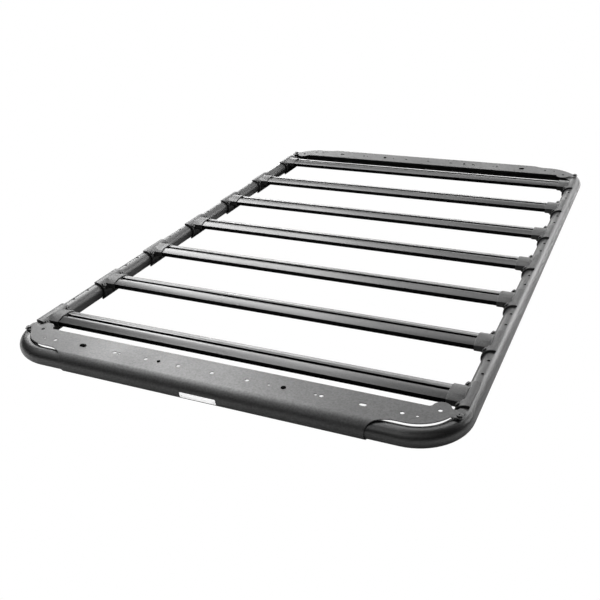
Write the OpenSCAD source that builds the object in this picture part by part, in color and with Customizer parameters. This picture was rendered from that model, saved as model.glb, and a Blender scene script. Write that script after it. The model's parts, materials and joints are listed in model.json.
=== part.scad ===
// Flat platform roof rack: a bent tube rim, seven slotted crossbars held in cast
// end brackets, and a sheet fairing wrapped over the rim at the front and the rear.
// X runs across the vehicle, Y along it with the front at -Y, and Z up.
// The origin is under the centre of the rack, on the surface it lies on.

/* [Rack] */
// Overall width over the side rails
rack_w = 1016; // [800:1:1400]
// Number of crossbars
bar_count = 7; // [3:1:9]
// Distance between crossbar centres
bar_pitch = 209; // [180:1:260]
// Distance from the first crossbar's centre to the axis of the rim's end tube
end_gap = 138; // [130:1:160]

/* [Rim tube] */
// Outside diameter of the rim tube
tube_d = 38; // [34:0.1:42]
// Wall of the rim tube
tube_wall = 2; // [1.5:0.1:3]
// Radius of the corner bends at the tube's axis
bend_r = 90; // [80:1:100]
// Diameter of the accessory holes in the top of the side rails
rail_hole_d = 6.5; // [4:0.1:9]
// Distance between the two accessory holes of one bay
rail_hole_gap = 52; // [30:1:80]
// Length of each inner splice that joins the two halves of the rim
splice_l = 160; // [80:1:300]
// Wall of the inner splices
splice_wall = 3; // [2:0.1:5]

/* [Crossbars] */
// Width of a crossbar
bar_w = 54; // [48:0.5:60]
// Height of a crossbar
bar_h = 20; // [20:0.5:26]
// Width of the flat strip on top of a crossbar, and of the one below
bar_flat = 24; // [22:0.5:30]
// Fall of the sloping faces between the flat strip and the sides
bar_fall = 5; // [3:0.5:7]
// Height of the crossbar's top above the top of the side rails
bar_rise = 3.7; // [2:0.1:6]
// Wall of the crossbars
bar_wall = 2; // [1.5:0.1:2.5]
// Width of the slots' mouths
slot_w = 8.2; // [6:0.1:10]
// Thickness of the lips beside the slots' mouths
slot_lip = 2; // [1.5:0.1:3]
// Width of the channels under the lips
channel_w = 15; // [12:0.1:18]
// Height of the channels under the lips
channel_h = 6; // [4:0.1:6.5]
// Width of the loading notch at the left end of each top slot
notch_w = 13; // [11:0.1:15]
// Length of the loading notch that shows beyond the bracket
notch_l = 10; // [5:0.5:30]

/* [End brackets] */
// Length of the bracket's saddle along the rail
saddle_l = 88; // [80:1:110]
// Thickness of the saddle
saddle_t = 5; // [3:0.1:6]
// Reach of the saddle over the top of the rail, as an angle past the crest
saddle_over = 16; // [5:1:30]
// Reach of the saddle round the inner side, as an angle down from the crest
saddle_under = 150; // [120:1:170]
// Wall of the socket round the crossbar
socket_wall = 2.3; // [2:0.1:4]
// Distance from the rail's axis to the mouth of the socket
socket_reach = 42; // [38:0.5:55]
// Distance from the rail's axis to the outer end of the socket's block
socket_end = 8; // [6:0.5:12]
// Radius of the rounded outer end of the socket's top
nose_r = 6; // [3:0.5:8]
// Distance between the two screws of a bracket
screw_gap = 73; // [70:1:80]
// Thickness of the two ribs under the socket
rib_t = 4; // [2:0.5:6]
// Distance from the mouth of the socket to the tip of the ribs
rib_lead = 6; // [2:0.5:14]
// Angle down from the crest at which the ribs run out on the saddle
rib_angle = 128; // [110:1:140]

/* [Screws] */
// Diameter of the screw shanks
screw_d = 6; // [5:0.5:8]
// Diameter of the screw heads
screw_head_d = 10.5; // [9:0.1:14]
// Height of the screw heads
screw_head_h = 3.3; // [2:0.1:5]
// Length of the screw shanks under the head
screw_l = 10; // [8:0.5:16]
// Width of the flat rim round the heads of the bracket screws
pad_rim = 1; // [0.5:0.1:1.5]

/* [Fairings] */
// Thickness of the fairing sheet
sheet_t = 1.6; // [1.5:0.1:3]
// Gap between the crest of the rim tube and the fairing's plate
plate_gap = 3; // [1.5:0.1:3.5]
// Gap between the bottom of the end tube and the fairing's roll
roll_gap = 0.4; // [0.4:0.1:1]
// Distance from the end tube's axis to the straight inner edge of the plate
plate_depth = 72; // [66:1:80]
// Distance from the start of the bend back to the cut end of the roll
relief_in = 62; // [54:1:70]
// Height, laid flat, of the round corner where the cut end runs into the plate's outer edge
relief_h = 40; // [20:1:42]
// Length along the tube of that corner
relief_l = 50; // [20:1:54]
// Distance from the rim's axis to the plate's outer edge round the corners
plate_inset = 7.5; // [6:0.5:12]
// Distance from the rail's axis to the centre of the round ear, across the rack
ear_in = 39; // [38:1:48]
// Distance from the end tube's axis to the centre of the ears
ear_y = 74.5; // [68:0.5:78]
// Radius of the ears
ear_r = 17.5; // [14:0.5:20]
// Distance from the centre of an ear to its hole, towards the end tube
ear_hole_back = 10; // [4:0.5:12]
// Radius of the fillet between the inner edge and an ear
valley_r = 8; // [4:0.5:12]
// Distance from the end tube's axis to the near side of the tabs over the side rails
tab_start = 51; // [46:0.5:54]
// Distance from the end tube's axis to the far end of the tabs
tab_end = 83; // [78:0.5:86]
// Distance from the rail's axis to the inner side of the tabs' far end
tab_in = 9; // [7:0.5:10]
// Reach of the tabs past the crest of the side rails
tab_over = 3; // [2:0.5:5]
// Radius of the tabs' outer corners
tab_corner_r = 5; // [3:0.5:6]
// Radius of the round bottom of the notch between an ear and its tab
notch_r = 7; // [6:0.5:9]
// Distance from the end tube's axis to the screws of the tabs
tab_screw_y = 59; // [57:0.5:62]
// Distance from the rail's axis to the screws of the tabs
tab_screw_in = 3.4; // [3:0.1:4.5]
// Diameter of the spacers under the tabs
spacer_d = 11; // [10:0.5:12]
// Distance from the end tube's axis to the row of holes
hole_row_y = 34; // [30:0.5:38]
// Distance from the rail's axis to the outermost large hole of the row
end_hole_in = 99.5; // [90:0.5:110]
// Diameter of the large holes
hole_d = 8; // [6:0.1:10]
// Diameter of the small holes
small_hole_d = 5; // [3:0.1:6]
// Length of the two slotted holes
slot_hole_l = 14; // [11:0.5:20]
// Distance of the slotted holes from their even place in the row
slot_shift = 3.5; // [0:0.5:6]
// Distance of the inner small holes from the plug's place, towards the middle
small_1_shift = 31; // [20:1:40]
// Distance of the middle small holes from the large hole beside them, towards the middle
small_2_shift = 12; // [9:0.5:20]
// Distance of the outer small holes from the last large hole, towards the corner
small_3_shift = 28; // [20:1:34]

/* [Hole plugs] */
// Reach of a plug's head past the edge of its hole
plug_flange = 1; // [0.5:0.1:2]
// Height of a plug's head
plug_t = 1.2; // [0.8:0.1:2]
// Gap between a plug and its hole
plug_gap = 0.1; // [0.05:0.05:0.2]

/* [Clearances] */
// Gap between the rim tube and what is seated on it
seat_gap = 0.2; // [0.1:0.05:0.3]
// Gap between a crossbar and its socket
socket_gap = 0.2; // [0.1:0.05:0.3]
// Gap between a screw and its hole, on the radius
screw_gap_r = 0.3; // [0.1:0.05:0.5]

/* [Hidden] */
$fn = 72;
eps = 0.01;
lap = 1;
tube_r = tube_d / 2;
seat_r = tube_r + seat_gap;
roll_in_r = tube_r + (plate_gap + roll_gap) / 2;
roll_r = roll_in_r + sheet_t;
roll_lift = (plate_gap - roll_gap) / 2;
plate_low = tube_r + plate_gap;
plate_top = plate_low + sheet_t;
saddle_r = seat_r + saddle_t;
rail_x = (rack_w - tube_d) / 2;
axis_z = roll_r - roll_lift;
deck_z = axis_z + tube_r;
bar_z = deck_z + bar_rise - bar_h / 2;
bar_end_x = rail_x - saddle_r - socket_gap;
end_y = (bar_count - 1) * bar_pitch / 2 + end_gap;
corner_x = rail_x - bend_r;
roll_half = corner_x - relief_in;
ear_x = rail_x - ear_in;
tab_screw_x = rail_x - tab_screw_in;
screw_tilt = 45;
hex_share = 0.6;
hole_clear_d = screw_d + 2 * screw_gap_r;
pad_d = screw_head_d + 2 * pad_rim;
open_steps = [1, 3, 5];
closed_steps = [2, 4];
hole_step = (rail_x - end_hole_in) / open_steps[2];
plug_x = closed_steps[0] * hole_step;
slot_x = closed_steps[1] * hole_step + slot_shift;
small_x = [plug_x - small_1_shift, open_steps[1] * hole_step - small_2_shift,
    open_steps[2] * hole_step + small_3_shift];

// Centre of crossbar i along the rack, counted from 1 at the front
function bar_y(i) = (i - (bar_count + 1) / 2) * bar_pitch;

// A cylinder of radius r along Y, centred on the right rail
module along_rail(r, y0, y1) {
    translate([rail_x, y1, axis_z]) rotate([90, 0, 0]) cylinder(r = r, h = y1 - y0);
}

// A right-hand half of the rim as a solid of radius r, both bends and both legs
module rim_half(r) {
    bend_y = end_y - bend_r;
    along_rail(r, -bend_y, bend_y);
    for (s = [-1, 1]) {
        translate([corner_x, s * bend_y, axis_z])
            mirror([0, s < 0 ? 1 : 0, 0])
                rotate_extrude(angle = 90) translate([bend_r, 0]) circle(r = r);
        translate([0, s * end_y, axis_z]) rotate([0, 90, 0]) cylinder(r = r, h = corner_x);
    }
}

// Holes in the rail for the bracket screws and for accessories
module rail_holes() {
    for (i = [1 : bar_count], s = [-1, 1])
        screw_place(bar_y(i) + s * screw_gap / 2) cylinder(d = hole_clear_d, h = tube_d);
    for (i = [1 : bar_count - 1], s = [-1, 1])
        translate([rail_x, (bar_y(i) + bar_y(i + 1)) / 2 + s * rail_hole_gap / 2, axis_z])
            cylinder(d = rail_hole_d, h = tube_d);
    for (s = [-1, 1])
        translate([tab_screw_x, s * (end_y - tab_screw_y), axis_z]) cylinder(d = hole_clear_d, h = tube_d);
}

// Places a child whose +Z leaves the right rail's axis inwards and up, at y
module screw_place(y) {
    translate([rail_x, y, axis_z]) rotate([0, -screw_tilt, 0]) children();
}

module rail() {
    color([0.16, 0.16, 0.17])
        difference() {
            rim_half(tube_r);
            rim_half(tube_r - tube_wall);
            rail_holes();
        }
}

module splice() {
    r = tube_r - tube_wall - seat_gap;
    color([0.3, 0.3, 0.31])
        translate([-splice_l / 2, 0, axis_z]) rotate([0, 90, 0])
            difference() {
                cylinder(r = r, h = splice_l);
                translate([0, 0, -lap]) cylinder(r = r - splice_wall, h = splice_l + 2 * lap);
            }
}

// Outline of a crossbar, grown by g on every side
function bar_outline(g) =
    let (w = bar_w / 2 + g, h = bar_h / 2 + g, f = bar_flat / 2 + g / 2, d = bar_h / 2 - bar_fall + g / 2)
    [[-f, h], [f, h], [w, d], [w, -d], [f, -h], [-f, -h], [-w, -d], [-w, d]];

// Extrudes a (Y, Z) outline along X between two places
module along_x(x0, x1) {
    translate([x0, 0, 0]) rotate([90, 0, 90]) linear_extrude(x1 - x0) children();
}

// The closed chamber on one side of a crossbar's channels
module bar_chamber() {
    x0 = channel_w / 2 + bar_wall;
    x1 = bar_w / 2 - bar_wall;
    z0 = bar_h / 2 - bar_wall - (x0 - bar_flat / 2) * bar_fall / (bar_w / 2 - bar_flat / 2);
    z1 = bar_h / 2 - bar_fall - bar_wall / 2;
    polygon([[x0, z0], [x1, z1], [x1, -z1], [x0, -z0]]);
}

module bar_section() {
    difference() {
        polygon(bar_outline(0));
        for (s = [0, 1]) mirror([s, 0]) bar_chamber();
        for (s = [0, 1]) mirror([0, s]) {
            translate([-slot_w / 2, bar_h / 2 - slot_lip - eps]) square([slot_w, slot_lip + lap]);
            translate([-channel_w / 2, bar_h / 2 - slot_lip - channel_h]) square([channel_w, channel_h]);
        }
    }
}

module crossbar(i) {
    notch_end = rail_x - socket_reach - notch_l;
    color([0.2, 0.2, 0.21])
        translate([0, bar_y(i), bar_z])
            difference() {
                along_x(-bar_end_x, bar_end_x) bar_section();
                translate([-bar_end_x - lap, -notch_w / 2, bar_h / 2 - slot_lip - eps])
                    cube([bar_end_x - notch_end + lap, notch_w, slot_lip + lap]);
            }
}

// A wedge in the XZ plane that covers the angles the saddle reaches round
module saddle_wedge() {
    far = 4 * saddle_r;
    a0 = 90 - saddle_over;
    a1 = 90 + saddle_under;
    am = (a0 + a1) / 2;
    polygon([[0, 0], for (a = [a0, (a0 + am) / 2, am, (am + a1) / 2, a1]) far * [cos(a), sin(a)]]);
}

// Extrudes an (X, Z) outline along Y, from -w / 2 to w / 2, from the right rail's axis
module across_rail(w) {
    translate([rail_x, w / 2, axis_z]) rotate([90, 0, 0]) linear_extrude(w) children();
}

// Side view of the socket's block, with its outer end rounded at the top
module block_side() {
    top = bar_z - axis_z + bar_h / 2 + socket_gap + socket_wall;
    low = -bar_h;
    translate([-socket_reach, low]) square([socket_reach - socket_end - nose_r, top - low]);
    translate([-socket_reach, low]) square([socket_reach - socket_end, top - low - nose_r]);
    translate([-socket_end - nose_r, top - nose_r]) circle(r = nose_r);
}

// Side view of a rib under the socket, which runs out on the saddle
module rib_side() {
    top = bar_z - axis_z - bar_h / 2 - socket_gap - socket_wall + lap;
    foot = saddle_r * [-sin(rib_angle), cos(rib_angle)];
    polygon([[-socket_reach + rib_lead, top], [0, top], [0, foot[1]], foot]);
}

// The solid form of a bracket before its seat, socket and screw holes are cut
module bracket_body() {
    intersection() {
        along_rail(saddle_r, -saddle_l / 2, saddle_l / 2);
        across_rail(2 * saddle_l) saddle_wedge();
    }
    intersection() {
        translate([0, 0, bar_z])
            along_x(rail_x - socket_reach, rail_x - socket_end) polygon(bar_outline(socket_wall + socket_gap));
        across_rail(2 * bar_w) block_side();
    }
    for (s = [-1, 1]) {
        translate([0, s * (bar_flat / 2 - rib_t), 0]) across_rail(rib_t) rib_side();
        screw_place(s * screw_gap / 2) cylinder(d = pad_d, h = saddle_r);
    }
}

// Right-hand end bracket at the crossbar i
module bracket(i) {
    color([0.24, 0.24, 0.25])
        translate([0, bar_y(i), 0])
            difference() {
                bracket_body();
                along_rail(seat_r, -saddle_l, saddle_l);
                translate([0, 0, bar_z])
                    along_x(rail_x - socket_reach - lap, bar_end_x + socket_gap)
                        polygon(bar_outline(socket_gap));
                for (s = [-1, 1])
                    screw_place(s * screw_gap / 2) cylinder(d = hole_clear_d, h = tube_d);
            }
}

// A button-head screw whose head rests on z = 0
module screw() {
    color([0.1, 0.1, 0.1]) {
        difference() {
            cylinder(d = screw_head_d, h = screw_head_h);
            translate([0, 0, screw_head_h / 2]) cylinder(d = screw_d * hex_share, h = screw_head_h, $fn = 6);
        }
        translate([0, 0, -screw_l]) cylinder(d = screw_d, h = screw_l);
    }
}

module bracket_screws() {
    for (i = [1 : bar_count], s = [-1, 1])
        screw_place(bar_y(i) + s * screw_gap / 2) translate([0, 0, saddle_r]) screw();
}

// Section of a fairing in (Y, Z), with the end tube's axis at the origin and the plate towards +Y
module fairing_section() {
    translate([0, roll_lift])
        difference() {
            intersection() {
                circle(r = roll_r);
                translate([-roll_r, -roll_r]) square([roll_r, 2 * roll_r]);
            }
            circle(r = roll_in_r);
        }
    translate([0, plate_low]) square([ear_y + ear_r, sheet_t]);
}

// Point at angle a of the round corner that ends the roll, laid out flat and then rolled round the tube
function relief_point(a) =
    let (flat = plate_inset - relief_h * (1 - sin(a)))
    [roll_half + relief_l * (1 - cos(a)), flat > 0 ? flat : roll_r * sin(flat / roll_r * 180 / PI)];

// Seen from above, with the end tube's axis along X at Y = 0: the middle and the round corner of the plate
module plate_half() {
    polygon(concat(
        [[-lap, -roll_r - lap], [roll_half, -roll_r - lap]],
        [for (a = [0 : 6 : 90]) relief_point(a)],
        [[corner_x, plate_inset], [corner_x, plate_depth], [-lap, plate_depth]]));
    intersection() {
        translate([corner_x, bend_r]) circle(r = bend_r - plate_inset);
        translate([corner_x - lap, 0]) square([bend_r, plate_depth]);
    }
}

// The round ear, with the fillet that leads into it from the plate's inner edge
module ear() {
    valley_x = ear_x - sqrt(pow(ear_r + valley_r, 2) - pow(plate_depth + valley_r - ear_y, 2));
    fillet_h = (plate_depth + valley_r - ear_y) * ear_r / (ear_r + valley_r) + ear_y - plate_depth;
    translate([ear_x, ear_y]) circle(r = ear_r);
    difference() {
        translate([valley_x, plate_depth - lap]) square([ear_x - valley_x, fillet_h + lap]);
        translate([valley_x, plate_depth + valley_r]) circle(r = valley_r);
    }
}

// The tab over the side rail, with the round-bottomed notch between it and the ear
module tab() {
    outer = rail_x + tab_over;
    notch_x = rail_x - tab_in - notch_r;
    notch_rise = sqrt(max(0, pow(ear_r + notch_r, 2) - pow(notch_x - ear_x, 2)));
    touch = ear_y + notch_rise * ear_r / (ear_r + notch_r);
    difference() {
        union() {
            translate([ear_x, tab_start]) square([notch_x - ear_x, touch - tab_start]);
            translate([notch_x - lap, tab_start]) square([notch_r + 2 * lap, ear_y + notch_rise - tab_start]);
        }
        translate([notch_x, ear_y + notch_rise]) circle(r = notch_r);
    }
    translate([rail_x - tab_in, tab_start]) square([tab_in + tab_over - tab_corner_r, tab_end - tab_start]);
    translate([rail_x - tab_in, tab_start + tab_corner_r])
        square([outer - rail_x + tab_in, tab_end - tab_start - 2 * tab_corner_r]);
    for (y = [tab_start + tab_corner_r, tab_end - tab_corner_r])
        translate([outer - tab_corner_r, y]) circle(r = tab_corner_r);
}

module fairing_holes() {
    translate([0, hole_row_y]) {
        circle(d = hole_d);
        for (s = [-1, 1]) {
            for (k = open_steps) translate([s * k * hole_step, 0]) circle(d = hole_d);
            for (x = small_x) translate([s * x, 0]) circle(d = small_hole_d);
            translate([s * plug_x, 0]) circle(d = hole_d);
            translate([s * slot_x, 0]) slot_hole(0);
        }
    }
    for (s = [-1, 1]) {
        translate([s * ear_x, ear_y - ear_hole_back]) circle(d = hole_d);
        translate([s * tab_screw_x, tab_screw_y]) circle(d = hole_clear_d);
    }
}

// Outline of a slotted hole, grown by g on every side
module slot_hole(g) {
    half = (slot_hole_l - hole_d) / 2;
    for (s = [-1, 1]) translate([s * half, 0]) circle(d = hole_d + 2 * g);
    translate([-half, -hole_d / 2 - g]) square([2 * half, hole_d + 2 * g]);
}

module fairing() {
    color([0.33, 0.33, 0.34])
        difference() {
            intersection() {
                along_x(-rail_x - tab_over, rail_x + tab_over) fairing_section();
                union() {
                    linear_extrude(plate_top + lap)
                        for (s = [0, 1]) mirror([s, 0]) {
                            plate_half();
                            ear();
                            tab();
                        }
                    translate([-roll_half, -roll_r - lap, -roll_r - lap])
                        cube([2 * roll_half, roll_r + 2 * lap, roll_r + 2 * lap]);
                }
            }
            linear_extrude(plate_top + lap) fairing_holes();
        }
}

// Places a child at one end of the rack: the front for -1, the rear for 1
module at_end(s) {
    rotate([0, 0, s > 0 ? 180 : 0]) translate([0, -end_y, axis_z]) children();
}

module fairing_screws() {
    for (s = [-1, 1]) translate([s * tab_screw_x, tab_screw_y, plate_top]) screw();
}

// Spacers that carry the tabs on the crest of the side rails
module fairing_spacers() {
    color([0.06, 0.06, 0.06])
        difference() {
            for (s = [-1, 1]) translate([s * tab_screw_x, tab_screw_y, 0]) cylinder(d = spacer_d, h = plate_low);
            for (s = [-1, 1]) {
                translate([s * tab_screw_x, tab_screw_y, -lap]) cylinder(d = hole_clear_d, h = plate_top);
                translate([s * corner_x, bend_r, 0]) rotate_extrude() translate([bend_r, 0]) circle(r = seat_r);
            }
        }
}

// A plug of the round hole of diameter d at x
module round_plug(x, d) {
    translate([x, hole_row_y, plate_top]) cylinder(d = d + 2 * plug_flange, h = plug_t);
    translate([x, hole_row_y, plate_low]) cylinder(d = d - 2 * plug_gap, h = sheet_t + eps);
}

module hole_plugs() {
    color([0.06, 0.06, 0.06]) {
        round_plug(plug_x, hole_d);
        round_plug(-small_x[0], small_hole_d);
        translate([-slot_x, hole_row_y, 0]) {
            translate([0, 0, plate_top]) linear_extrude(plug_t) slot_hole(plug_flange);
            translate([0, 0, plate_low]) linear_extrude(sheet_t + eps) slot_hole(-plug_gap);
        }
    }
}

mirror([1, 0, 0]) rail();  // left_rail
rail();  // right_rail
translate([0, -end_y, 0]) splice();  // front_splice
translate([0, end_y, 0]) splice();  // rear_splice
for (i = [1 : bar_count]) {
    crossbar(i);
    mirror([1, 0, 0]) bracket(i);
    bracket(i);
}
mirror([1, 0, 0]) bracket_screws();  // left_bracket_screws
bracket_screws();  // right_bracket_screws
at_end(-1) fairing();  // front_fairing
at_end(1) fairing();  // rear_fairing
at_end(-1) fairing_screws();  // front_fairing_screws
at_end(1) fairing_screws();  // rear_fairing_screws
at_end(-1) fairing_spacers();  // front_fairing_spacers
at_end(1) fairing_spacers();  // rear_fairing_spacers
at_end(-1) hole_plugs();  // front_hole_plugs
at_end(1) hole_plugs();  // rear_hole_plugs
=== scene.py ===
import json
import math

import bmesh
import bpy
from mathutils import Matrix, Vector


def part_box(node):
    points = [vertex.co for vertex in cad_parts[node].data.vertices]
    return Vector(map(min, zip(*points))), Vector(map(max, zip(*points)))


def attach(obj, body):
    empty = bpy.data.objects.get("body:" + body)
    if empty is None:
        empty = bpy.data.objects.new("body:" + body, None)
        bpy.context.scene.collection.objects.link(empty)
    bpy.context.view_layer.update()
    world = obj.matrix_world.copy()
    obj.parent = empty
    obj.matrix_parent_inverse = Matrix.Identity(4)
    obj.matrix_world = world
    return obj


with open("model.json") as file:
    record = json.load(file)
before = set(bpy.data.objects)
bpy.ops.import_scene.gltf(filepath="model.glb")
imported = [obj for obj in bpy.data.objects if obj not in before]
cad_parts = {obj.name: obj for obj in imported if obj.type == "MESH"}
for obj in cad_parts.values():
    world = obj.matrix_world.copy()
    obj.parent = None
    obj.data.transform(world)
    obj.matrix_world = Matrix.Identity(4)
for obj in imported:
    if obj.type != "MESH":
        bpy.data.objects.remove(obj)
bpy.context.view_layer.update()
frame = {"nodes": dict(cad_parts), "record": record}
rackNodes = frame["nodes"]
mm = 0.001
print("frame loaded:", len(rackNodes), "pieces")

# Everything below is in metres. +X is to the rack's right, the blank plate is at the end
# towards -Y, and the rack lies on z = 0.


# Camera at the photo's place
photoCamera = {
    "place": (0.756471, -1.862295, 0.861656),
    "heading": -26.1621,  # degrees from +Y, towards +X
    "pitch": 26.3844,  # degrees below the horizon
    "roll": -3.1684,
    "lens": 48.137,
    "sensor": 36.0,
    "near": 0.05,
    "far": 200.0,
}


def addCamera(look):
    heading, pitch, roll = (math.radians(look[key]) for key in ("heading", "pitch", "roll"))
    level = math.cos(pitch)
    ahead = Vector((math.sin(heading) * level, math.cos(heading) * level, -math.sin(pitch)))
    right = ahead.cross(Vector((0, 0, 1))).normalized()
    above = right.cross(ahead)
    side = math.cos(roll) * right + math.sin(roll) * above
    top = math.cos(roll) * above - math.sin(roll) * right
    turned = Matrix((side, top, -ahead)).transposed().to_4x4()
    data = bpy.data.cameras.new("photoCamera")
    data.lens = look["lens"]
    data.sensor_width = look["sensor"]
    data.clip_start = look["near"]
    data.clip_end = look["far"]
    camera = bpy.data.objects.new("photoCamera", data)
    camera.matrix_world = Matrix.Translation(look["place"]) @ turned
    bpy.context.scene.collection.objects.link(camera)
    bpy.context.scene.camera = camera


addCamera(photoCamera)
bpy.context.scene.view_settings.view_transform = "Standard"
print("camera placed")


# Node helpers
white = (1, 1, 1, 1)
noiseSpan = (0.3, 0.7)  # the values that a noise texture mostly takes


def newTree(name):
    material = bpy.data.materials.new(name)
    material.use_nodes = True
    tree = material.node_tree
    tree.nodes.clear()
    return material, tree


def addNode(tree, kind, **settings):
    node = tree.nodes.new(kind)
    for key, value in settings.items():
        if hasattr(node, key):
            setattr(node, key, value)
        else:
            node.inputs[key].default_value = value
    return node


def join(tree, source, output, target, socket):
    tree.links.new(source.outputs[output], target.inputs[socket])


def stretchedCoords(tree, stretch):
    place = addNode(tree, "ShaderNodeTexCoord")
    scaled = addNode(tree, "ShaderNodeMapping", Scale=stretch)
    join(tree, place, "Object", scaled, "Vector")
    return scaled


def noiseOn(tree, coords, scale, detail, roughness):
    noise = addNode(tree, "ShaderNodeTexNoise", Scale=scale, Detail=detail, Roughness=roughness)
    join(tree, coords, "Vector", noise, "Vector")
    return noise


def rangeOf(tree, source, output, low, high, span=noiseSpan):
    spread = addNode(tree, "ShaderNodeMapRange", **{
        "From Min": span[0], "From Max": span[1], "To Min": low, "To Max": high})
    join(tree, source, output, spread, "Value")
    return spread


def toneRamp(tree, source, output, *tones):
    ramp = addNode(tree, "ShaderNodeValToRGB")
    for stop, place, tone in zip(ramp.color_ramp.elements, noiseSpan, tones):
        stop.position = place
        stop.color = (*tone, 1)
    join(tree, source, output, ramp, "Fac")
    return ramp


def bumpOf(tree, height, strength, depth):
    bump = addNode(tree, "ShaderNodeBump", Strength=strength, Distance=depth)
    join(tree, height, "Fac", bump, "Height")
    return bump


def grey(value):
    return (value, value, value)


# Surface finish of each kind of piece: a grain in its tone, clouds in its satin, and specks that
# mottle its gloss; on the crossbars, painted shade darkens the faces that don't look up
noiseKinds = {
    "cloud": {"detail": 4, "roughness": 0.5},
    "grain": {"detail": 3, "roughness": 0.6},
    "speck": {"detail": 2, "roughness": 0.5},
}
mixNumbers, mixColours = (2, 3), (6, 7)  # sockets of a Mix node's first and second value
mixedNumber, mixedColour = 0, 2  # its outputs


def paintShadeOnSides(tree, tone, gloss, shader, sides):  # painted shade: faces that don't look up get a darker tone and less gloss
    place = addNode(tree, "ShaderNodeTexCoord")
    split = addNode(tree, "ShaderNodeSeparateXYZ")
    join(tree, place, "Normal", split, "Vector")
    upward = rangeOf(tree, split, "Z", 0.0, 1.0, sides["upward"])
    fade = addNode(tree, "ShaderNodeMix", data_type="FLOAT")
    fade.inputs[mixNumbers[0]].default_value = sides["specular"]
    join(tree, upward, "Result", fade, 0)
    join(tree, gloss, "Result", fade, mixNumbers[1])
    join(tree, fade, mixedNumber, shader, "Specular IOR Level")
    mix = addNode(tree, "ShaderNodeMix", data_type="RGBA")
    mix.inputs[mixColours[0]].default_value = (*sides["tone"], 1)
    join(tree, upward, "Result", mix, 0)
    join(tree, tone, "Color", mix, mixColours[1])
    join(tree, mix, mixedColour, shader, "Base Color")


def coatedMetal(look):
    material, tree = newTree(look["name"])
    plain = stretchedCoords(tree, (1, 1, 1))
    drawn = stretchedCoords(tree, look.get("stretch", (1, 1, 1)))
    cloud = noiseOn(tree, plain, look["cloudScale"], **noiseKinds["cloud"])
    grain = noiseOn(tree, drawn, look["grainScale"], **noiseKinds["grain"])
    speck = noiseOn(tree, plain, look["speckScale"], **noiseKinds["speck"])
    tone = toneRamp(tree, grain, "Fac", look["darkTone"], look["lightTone"])
    satin = rangeOf(tree, cloud, "Fac", *look["roughness"])
    fine = bumpOf(tree, grain, look["grainBump"], look["grainDepth"])
    coarse = bumpOf(tree, speck, look["speckBump"], look["speckDepth"])
    join(tree, fine, "Normal", coarse, "Normal")
    shader = addNode(tree, "ShaderNodeBsdfPrincipled", Metallic=look.get("metallic", 0.0))
    shine, mottle = look.get("specular", 0.5), look.get("mottle", 0.0)
    shader.inputs["Specular IOR Level"].default_value = shine
    if mottle:
        gloss = rangeOf(tree, speck, "Fac", shine * (1 - mottle), shine * (1 + mottle))
        join(tree, gloss, "Result", shader, "Specular IOR Level")
    # painted shade on the faces that don't look up
    if "sides" in look:
        paintShadeOnSides(tree, tone, gloss, shader, look["sides"])
    else:
        join(tree, tone, "Color", shader, "Base Color")
    if "glow" in look:
        shader.inputs["Emission Color"].default_value = white
        shader.inputs["Emission Strength"].default_value = look["glow"]
    join(tree, satin, "Result", shader, "Roughness")
    join(tree, coarse, "Normal", shader, "Normal")
    out = addNode(tree, "ShaderNodeOutputMaterial")
    join(tree, shader, "BSDF", out, "Surface")
    return material


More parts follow.
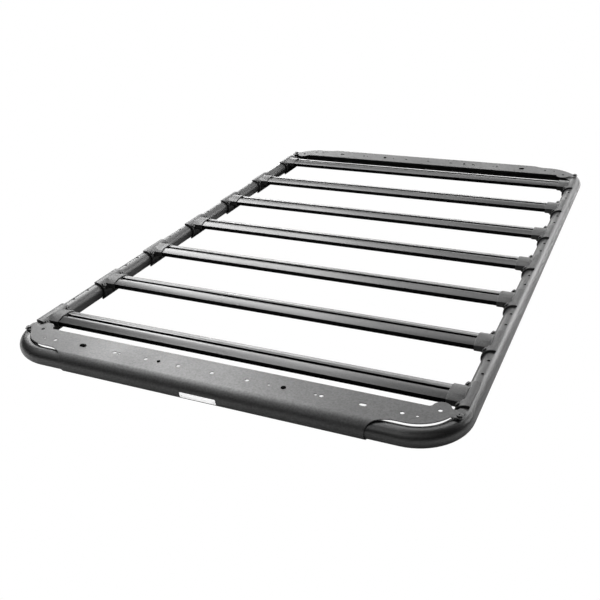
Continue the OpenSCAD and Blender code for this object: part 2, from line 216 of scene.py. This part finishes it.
finishes = {
    "rim_tube": {
        "name": "satinTubeCoat",
        "darkTone": grey(0.005), "lightTone": grey(0.007), "roughness": (0.36, 0.43),
        "specular": 0.53, "mottle": 0.14, "cloudScale": 9,
        "grainScale": 900, "grainBump": 0.35, "grainDepth": 0.03 * mm,
        "speckScale": 240, "speckBump": 0.3, "speckDepth": 0.08 * mm,
    },
    "inner_splice": {
        "name": "drawnTube",
        "darkTone": grey(0.42), "lightTone": grey(0.52), "roughness": (0.30, 0.42),
        "metallic": 1.0, "cloudScale": 30, "stretch": (1, 60, 60),
        "grainScale": 30, "grainBump": 0.3, "grainDepth": 0.02 * mm,
        "speckScale": 400, "speckBump": 0.1, "speckDepth": 0.02 * mm,
    },
    "crossbar": {
        "name": "anodisedExtrusion",
        "darkTone": grey(0.012), "lightTone": grey(0.019), "roughness": (0.27, 0.32),
        "specular": 0.44, "mottle": 0.14, "cloudScale": 6, "stretch": (0.6, 60, 60),
        # the sides are painted shade: faces that don't look up get this darker tone and weaker
        # gloss
        "sides": {"tone": grey(0.0015), "specular": 0.03, "upward": (0.5, 0.85)},
        "grainScale": 22, "grainBump": 0.06, "grainDepth": 0.02 * mm,
        "speckScale": 400, "speckBump": 0.35, "speckDepth": 0.05 * mm,
    },
    "cast_bracket": {
        "name": "coatedCasting",
        "darkTone": grey(0.005), "lightTone": grey(0.009), "roughness": (0.41, 0.51),
        "specular": 0.47, "mottle": 0.22, "cloudScale": 40,
        "grainScale": 1100, "grainBump": 0.5, "grainDepth": 0.05 * mm,
        "speckScale": 320, "speckBump": 0.7, "speckDepth": 0.12 * mm,
    },
    "fairing_sheet": {
        "name": "texturedSheetCoat",
        "darkTone": grey(0.0055), "lightTone": grey(0.0085), "roughness": (0.42, 0.50),
        "specular": 0.52, "mottle": 0.22, "cloudScale": 7,
        "grainScale": 1000, "grainBump": 0.5, "grainDepth": 0.05 * mm,
        "speckScale": 260, "speckBump": 0.3, "speckDepth": 0.08 * mm,
    },
    "screw": {
        "name": "blackOxideSteel",
        "darkTone": grey(0.006), "lightTone": grey(0.012), "roughness": (0.26, 0.36),
        "specular": 0.6, "cloudScale": 300,
        "grainScale": 2500, "grainBump": 0.3, "grainDepth": 0.02 * mm,
        "speckScale": 700, "speckBump": 0.2, "speckDepth": 0.03 * mm,
    },
    "hole_plug": {
        "name": "mouldedPlug",
        "darkTone": grey(0.0015), "lightTone": grey(0.003), "roughness": (0.6, 0.75),
        "specular": 0.0, "cloudScale": 200,
        "grainScale": 1800, "grainBump": 0.4, "grainDepth": 0.03 * mm,
        "speckScale": 600, "speckBump": 0.2, "speckDepth": 0.03 * mm,
    },
    "spacer": {
        "name": "blackRubber",
        "darkTone": grey(0.006), "lightTone": grey(0.01), "roughness": (0.7, 0.85),
        "cloudScale": 200,
        "grainScale": 1500, "grainBump": 0.5, "grainDepth": 0.05 * mm,
        "speckScale": 500, "speckBump": 0.3, "speckDepth": 0.05 * mm,
    },
}


def finishNodes():
    made = {slotName: coatedMetal(look) for slotName, look in finishes.items()}
    for part in frame["record"]["subparts"]:
        for slot in rackNodes[part["node"]].material_slots:
            slot.material = made[part["material_slot"]]


finishNodes()
print("finishes:", len(finishes))


# Rounded edges, as wide as each way of making leaves them
edgeRounds = {
    "crossbar": {"width": 0.45 * mm, "steps": 2, "shortest": 0.0},
    "cast_bracket": {
        "width": 1.2 * mm, "steps": 3, "shortest": 1.0 * mm,
        "ribs": {"aside": 10.4 * mm, "from": 5 * mm, "to": 20.9 * mm},  # where the ribs are
    },
    "fairing_sheet": {"width": 0.35 * mm, "steps": 2, "shortest": 0.0},
    "screw": {"width": 0.35 * mm, "steps": 2, "shortest": 0.0},
    "hole_plug": {"width": 0.3 * mm, "steps": 2, "shortest": 0.0},
}
roundsFrom = math.radians(32)
flatWithin = math.radians(0.5)
weldDistance = 0.01 * mm


def newGroup(name):
    group = bpy.data.node_groups.new(name, "GeometryNodeTree")
    for way in ("INPUT", "OUTPUT"):
        group.interface.new_socket("Geometry", in_out=way, socket_type="NodeSocketGeometry")
    return group, group.nodes.new("NodeGroupInput"), group.nodes.new("NodeGroupOutput")


def vectorMath(group, operation, first, firstOutput, second, secondOutput):
    node = addNode(group, "ShaderNodeVectorMath", operation=operation)
    join(group, first, firstOutput, node, 0)
    join(group, second, secondOutput, node, 1)
    return node


def numberMath(group, operation, first, firstOutput, second=None, secondOutput=0):
    node = addNode(group, "ShaderNodeMath", operation=operation)
    join(group, first, firstOutput, node, 0)
    if isinstance(second, float):
        node.inputs[1].default_value = second
    elif second is not None:
        join(group, second, secondOutput, node, 1)
    return node


def weldGroup():
    group, start, stop = newGroup("weldAndSmooth")
    weld = addNode(group, "GeometryNodeMergeByDistance", Distance=weldDistance)
    smooth = addNode(group, "GeometryNodeSetShadeSmooth")
    join(group, start, 0, weld, "Geometry")
    join(group, weld, "Geometry", smooth, "Geometry")
    join(group, smooth, "Geometry", stop, 0)
    return group


def ribEdges(group, start, ends, zone):  # 1 on the ribs under a socket; its places are doubled
    reach = addNode(group, "GeometryNodeBoundBox")
    join(group, start, 0, reach, "Geometry")
    centre = vectorMath(group, "ADD", reach, "Min", reach, "Max")
    middle = vectorMath(group, "ADD", ends, "Position 1", ends, "Position 2")
    offset = vectorMath(group, "SUBTRACT", middle, 0, centre, 0)
    across = addNode(group, "ShaderNodeSeparateXYZ")
    join(group, offset, 0, across, 0)
    upright = addNode(group, "ShaderNodeSeparateXYZ")
    join(group, middle, 0, upright, 0)
    aside = numberMath(group, "ABSOLUTE", across, "Y")
    near = numberMath(group, "LESS_THAN", aside, 0, 2 * zone["aside"])
    above = numberMath(group, "GREATER_THAN", upright, "Z", 2 * zone["from"])
    below = numberMath(group, "LESS_THAN", upright, "Z", 2 * zone["to"])
    return numberMath(group, "MULTIPLY", near, 0, numberMath(group, "MULTIPLY", above, 0, below))


def markGroup(name, size):  # marks the sharp edges that are long enough to be rounded cleanly
    group, start, stop = newGroup("mark_" + name)
    turn = addNode(group, "GeometryNodeInputMeshEdgeAngle")
    sharp = addNode(group, "FunctionNodeCompare", operation="GREATER_THAN", B=roundsFrom)
    join(group, turn, "Unsigned Angle", sharp, "A")
    ends = addNode(group, "GeometryNodeInputMeshEdgeVertices")
    span = vectorMath(group, "DISTANCE", ends, "Position 1", ends, "Position 2")
    long = addNode(group, "FunctionNodeCompare", operation="GREATER_THAN", B=size["shortest"])
    join(group, span, "Value", long, "A")
    weight = numberMath(group, "MULTIPLY", sharp, "Result", long, "Result")
    mark = addNode(group, "GeometryNodeStoreNamedAttribute",
                   domain="EDGE", Name="bevel_weight_edge")
    join(group, start, 0, mark, "Geometry")
    last = mark
    if "ribs" in size:  # the ribs stay crisp, because their tips are too thin to be rounded
        ribs = ribEdges(group, start, ends, size["ribs"])
        spared = numberMath(group, "MULTIPLY", weight, 0, ribs)
        weight = numberMath(group, "SUBTRACT", weight, 0, spared)
        last = addNode(group, "GeometryNodeSetShadeSmooth", domain="EDGE")
        last.inputs["Shade Smooth"].default_value = False
        join(group, numberMath(group, "MULTIPLY", sharp, "Result", ribs), 0, last, "Selection")
        join(group, mark, "Geometry", last, "Geometry")
    join(group, weight, 0, mark, "Value")
    join(group, last, "Geometry", stop, 0)
    return group


def roundEdges():
    weld = weldGroup()
    marks = {slotName: markGroup(slotName, size) for slotName, size in edgeRounds.items()}
    rounded = 0
    for part in frame["record"]["subparts"]:
        slotName = part["material_slot"]
        if slotName not in edgeRounds:
            continue
        node = rackNodes[part["node"]]
        node.modifiers.new("weld", "NODES").node_group = weld
        merge = node.modifiers.new("flatFaces", "DECIMATE")
        merge.decimate_type = "DISSOLVE"
        merge.angle_limit = flatWithin
        node.modifiers.new("mark", "NODES").node_group = marks[slotName]
        bevel = node.modifiers.new("roundedEdges", "BEVEL")
        bevel.limit_method = "WEIGHT"
        bevel.width = edgeRounds[slotName]["width"]
        bevel.segments = edgeRounds[slotName]["steps"]
        bevel.use_clamp_overlap = False
        node.modifiers.new("evenShading", "WEIGHTED_NORMAL").keep_sharp = True
        rounded += 1
    return rounded


print("rounded pieces:", roundEdges())


# Blank plate on the middle of the front roll, held by a small pin at each end
namePlate = {
    "width": 80 * mm,
    "aside": -2.8 * mm,
    "top": 4.5,  # degrees above the level of the roll's axis
    "bottom": -28.5,
    "thickness": 0.8 * mm,
    "bedGap": 0.05 * mm,
    "columns": 24,
    "rows": 10,
    "corner": 1.2 * mm,
    "edgeRound": 0.35,  # of the thickness
    "pinRadius": 1.3 * mm,
    "pinHeight": 0.7 * mm,
    "pinInset": 4.6 * mm,
    "pinBed": 0.6,  # how far up the plate's thickness a pin starts
    "pinRings": 4,
    "pinSides": 20,
}


def rollOf(node):
    low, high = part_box(node)
    radius = (high.z - low.z) / 2
    return {"y": low.y + radius, "z": low.z + radius, "radius": radius}


frontRoll = rollOf("front_fairing")


def rollPoint(x, angle, radius):
    y = frontRoll["y"] - radius * math.cos(angle)
    return Vector((x, y, frontRoll["z"] + radius * math.sin(angle)))


def meshPiece(name, builder, material):
    mesh = bpy.data.meshes.new(name)
    form = bmesh.new()
    builder(form, namePlate)
    bmesh.ops.recalc_face_normals(form, faces=form.faces)
    form.to_mesh(mesh)
    form.free()
    for face in mesh.polygons:
        face.use_smooth = True
    piece = bpy.data.objects.new(name, mesh)
    bpy.context.scene.collection.objects.link(piece)
    mesh.materials.append(material)
    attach(piece, "root")


def plateForm(form, plate):
    inner = frontRoll["radius"] + plate["bedGap"]
    outer = inner + plate["thickness"]
    bottom, top = math.radians(plate["bottom"]), math.radians(plate["top"])
    half, rise = plate["width"] / 2, (top - bottom) * outer / 2
    corner = plate["corner"]

    def edgePoint(u, v, shrink, skin):
        x, y = u * (half - shrink), v * (rise - shrink)
        straightX, straightY = half - shrink - corner, rise - shrink - corner
        overX, overY = abs(x) - straightX, abs(y) - straightY
        if overX > 0 and overY > 0:
            pull = min(1.0, corner / math.hypot(overX, overY))
            x = math.copysign(straightX + overX * pull, x)
            y = math.copysign(straightY + overY * pull, y)
        return form.verts.new(rollPoint(x + plate["aside"], (bottom + top) / 2 + y / outer, skin))

    columns, rows = plate["columns"], plate["rows"]
    bevel = plate["thickness"] * plate["edgeRound"]
    layers = []
    for shrink, skin in ((0, inner), (0, outer - bevel), (bevel, outer)):
        layers.append([[edgePoint(2 * i / columns - 1, 2 * j / rows - 1, shrink, skin)
                        for j in range(rows + 1)] for i in range(columns + 1)])
    for layer in (layers[0], layers[2]):
        for i in range(columns):
            for j in range(rows):
                near, far = layer[i], layer[i + 1]
                form.faces.new((near[j], far[j], far[j + 1], near[j + 1]))
    rim = [(i, 0) for i in range(columns)] + [(columns, j) for j in range(rows)]
    rim += [(i, rows) for i in range(columns, 0, -1)] + [(0, j) for j in range(rows, 0, -1)]
    for lower, upper in ((layers[0], layers[1]), (layers[1], layers[2])):
        for k in range(len(rim)):
            (i, j), (m, n) = rim[k], rim[(k + 1) % len(rim)]
            form.faces.new((lower[i][j], lower[m][n], upper[m][n], upper[i][j]))
    loose = [vert for row in layers[1] for vert in row if not vert.link_faces]
    bmesh.ops.delete(form, geom=loose, context="VERTS")


def pinForm(form, plate):
    base = frontRoll["radius"] + plate["bedGap"] + plate["thickness"] * plate["pinBed"]
    middle = math.radians((plate["top"] + plate["bottom"]) / 2)
    outward = Vector((0, -math.cos(middle), math.sin(middle)))
    along = Vector((0, math.sin(middle), math.cos(middle)))
    sideways = Vector((1, 0, 0))
    sides, last = plate["pinSides"], plate["pinRings"] - 1
    for end in (-1, 1):
        x = plate["aside"] + end * (plate["width"] / 2 - plate["pinInset"])
        centre = rollPoint(x, middle, base)
        rings = []
        for ring in range(last):
            turn = ring / last * math.pi / 2
            reach, lift = plate["pinRadius"] * math.cos(turn), plate["pinHeight"] * math.sin(turn)
            turns = [k * 2 * math.pi / sides for k in range(sides)]
            rings.append([form.verts.new(centre + outward * lift + sideways * reach * math.cos(t)
                                         + along * reach * math.sin(t)) for t in turns])
        tip = form.verts.new(centre + outward * plate["pinHeight"])
        form.faces.new(rings[0])
        for k in range(sides):
            m = (k + 1) % sides
            for lower, upper in zip(rings, rings[1:]):
                form.faces.new((lower[k], lower[m], upper[m], upper[k]))
            form.faces.new((rings[-1][k], rings[-1][m], tip))


plateCoat = {
    "name": "whitePlateFilm",
    "darkTone": grey(0.92), "lightTone": grey(0.95), "roughness": (0.35, 0.45),
    # the glow is painted light: the plate gives off light of its own so that it looks whiter
    "glow": 0.3, "cloudScale": 60,
    "grainScale": 1400, "grainBump": 0.15, "grainDepth": 0.02 * mm,
    "speckScale": 300, "speckBump": 0.1, "speckDepth": 0.03 * mm,
}
pinSteel = {
    "name": "platePin",
    "darkTone": grey(0.45), "lightTone": grey(0.55), "roughness": (0.3, 0.4),
    "metallic": 0.8, "cloudScale": 300,
    "grainScale": 2000, "grainBump": 0.2, "grainDepth": 0.02 * mm,
    "speckScale": 800, "speckBump": 0.1, "speckDepth": 0.02 * mm,
}
meshPiece("blank_plate", plateForm, coatedMetal(plateCoat))
meshPiece("blank_plate_pins", pinForm, coatedMetal(pinSteel))
print("blank plate made")


# Floors: one pure white that only the camera sees, paper below it that throws light back,
# and dark mats inside the rim, painted shade that keeps the rack's insides dark
studioFloors = {
    "whiteFloor": {"size": (60.0, 60.0), "drop": 0.5 * mm, "glow": 1.0},
    "paperFloor": {"size": (16.0, 16.0), "drop": 1.0 * mm, "tone": grey(0.8)},
    # both mats are painted shade: dark sheets under the rack that stand in for the floor's shadow
    # there
    "paintedShadeMat": {"size": (0.94, 1.46), "drop": 0.8 * mm, "tone": grey(0.35)},
    "rearPaintedShadeMat": {"size": (0.94, 0.30), "back": 0.58, "drop": 0.7 * mm, "tone": grey(0.04)},
}
lightRays = ("visible_diffuse", "visible_glossy", "visible_shadow", "visible_transmission")


def addFloor(name, look):
    wide, deep = (side / 2 for side in look["size"])
    corners = [(-wide, -deep, 0), (wide, -deep, 0), (wide, deep, 0), (-wide, deep, 0)]
    mesh = bpy.data.meshes.new(name)
    mesh.from_pydata(corners, [], [(0, 1, 2, 3)])
    floor = bpy.data.objects.new(name, mesh)
    floor.location = (0, look.get("back", 0), -look["drop"])
    bpy.context.scene.collection.objects.link(floor)
    material, tree = newTree(name)
    if "glow" in look:
        paint = addNode(tree, "ShaderNodeEmission", Color=white, Strength=look["glow"])
        for rays in lightRays:
            setattr(floor, rays, False)
    else:
        paint = addNode(tree, "ShaderNodeBsdfDiffuse", Color=(*look["tone"], 1))
        floor.visible_camera = False
    out = addNode(tree, "ShaderNodeOutputMaterial")
    join(tree, paint, 0, out, "Surface")
    mesh.materials.append(material)


for floorName, floorLook in studioFloors.items():
    addFloor(floorName, floorLook)
print("floors:", len(studioFloors))


# Soft panels round the rack, which together make one broad light from behind
softPanels = {
    "distance": 2.8,
    "panels": [  # heading and height in degrees as seen from the rack, width, tall, watts
        (35, -3, 0.72, 0.38, 29.2),
        (-45, 6, 0.71, 0.58, 6.6),
        (-30, 6, 0.71, 0.58, 10.7),
        (-15, 6, 0.71, 0.58, 6.8),
        (0, 6, 0.71, 0.58, 6.7),
        (15, 6, 0.71, 0.58, 3.4),
        (-70, 18, 0.68, 0.58, 7.9),
        (-40, 18, 0.68, 0.58, 2.9),
        (20, 18, 0.68, 0.58, 2.2),
        (35, 18, 0.68, 0.58, 12.6),
        (65, 18, 0.68, 0.58, 13.5),
        (-53, 31, 0.7, 0.67, 18.2),
        (-19, 31, 0.7, 0.67, 1.7),
        (-2, 31, 0.7, 0.67, 5.7),
        (32, 31, 0.7, 0.67, 18.7),
        (-170, 38, 1.55, 1.37, 11.9),
        (-130, 38, 1.55, 1.37, 5.7),
        (150, 38, 1.55, 1.37, 4),
        (-60, 45, 0.67, 0.67, 21.1),
        (-40, 45, 0.67, 0.67, 15.8),
        (-20, 45, 0.67, 0.67, 5),
        (20, 45, 0.67, 0.67, 6.7),
        (60, 45, 0.67, 0.67, 4.9),
        (-120, 60, 1.37, 0.87, 20.2),
        (-100, 60, 0.59, 0.72, 20.7),
        (-50, 60, 0.59, 0.72, 15.6),
        (-25, 60, 0.59, 0.72, 6.8),
        (0, 60, 0.59, 0.72, 4.2),
        (25, 60, 0.59, 0.72, 10),
        (-100, 76, 0.76, 0.67, 8.5),
    ],
}
studioSky = {"light": 0.0, "seen": 1.0}  # it lights nothing, and the camera sees it as white


def addPanel(name, distance, heading, height, width, tall, watts):
    heading, height = math.radians(heading), math.radians(height)
    level = math.cos(height)
    towards = Vector((math.sin(heading) * level, math.cos(heading) * level, math.sin(height)))
    data = bpy.data.lights.new(name, "AREA")
    data.shape = "RECTANGLE"
    data.size = width
    data.size_y = tall
    data.energy = watts
    panel = bpy.data.objects.new(name, data)
    panel.location = towards * distance
    panel.rotation_euler = towards.to_track_quat("Z", "Y").to_euler()
    panel.visible_camera = False
    bpy.context.scene.collection.objects.link(panel)


def addSky(look):
    world = bpy.data.worlds.new("studioAir")
    bpy.context.scene.world = world
    world.use_nodes = True
    tree = world.node_tree
    tree.nodes.clear()
    path = addNode(tree, "ShaderNodeLightPath")
    either = addNode(tree, "ShaderNodeMixShader")
    join(tree, path, "Is Camera Ray", either, 0)
    for socket, use in enumerate(("light", "seen"), start=1):
        air = addNode(tree, "ShaderNodeBackground", Color=white, Strength=look[use])
        join(tree, air, 0, either, socket)
    out = addNode(tree, "ShaderNodeOutputWorld")
    join(tree, either, "Shader", out, "Surface")


for index, panel in enumerate(softPanels["panels"]):
    addPanel(f"softPanel{index}", softPanels["distance"], *panel)
addSky(studioSky)
print("lights:", len(bpy.data.lights))
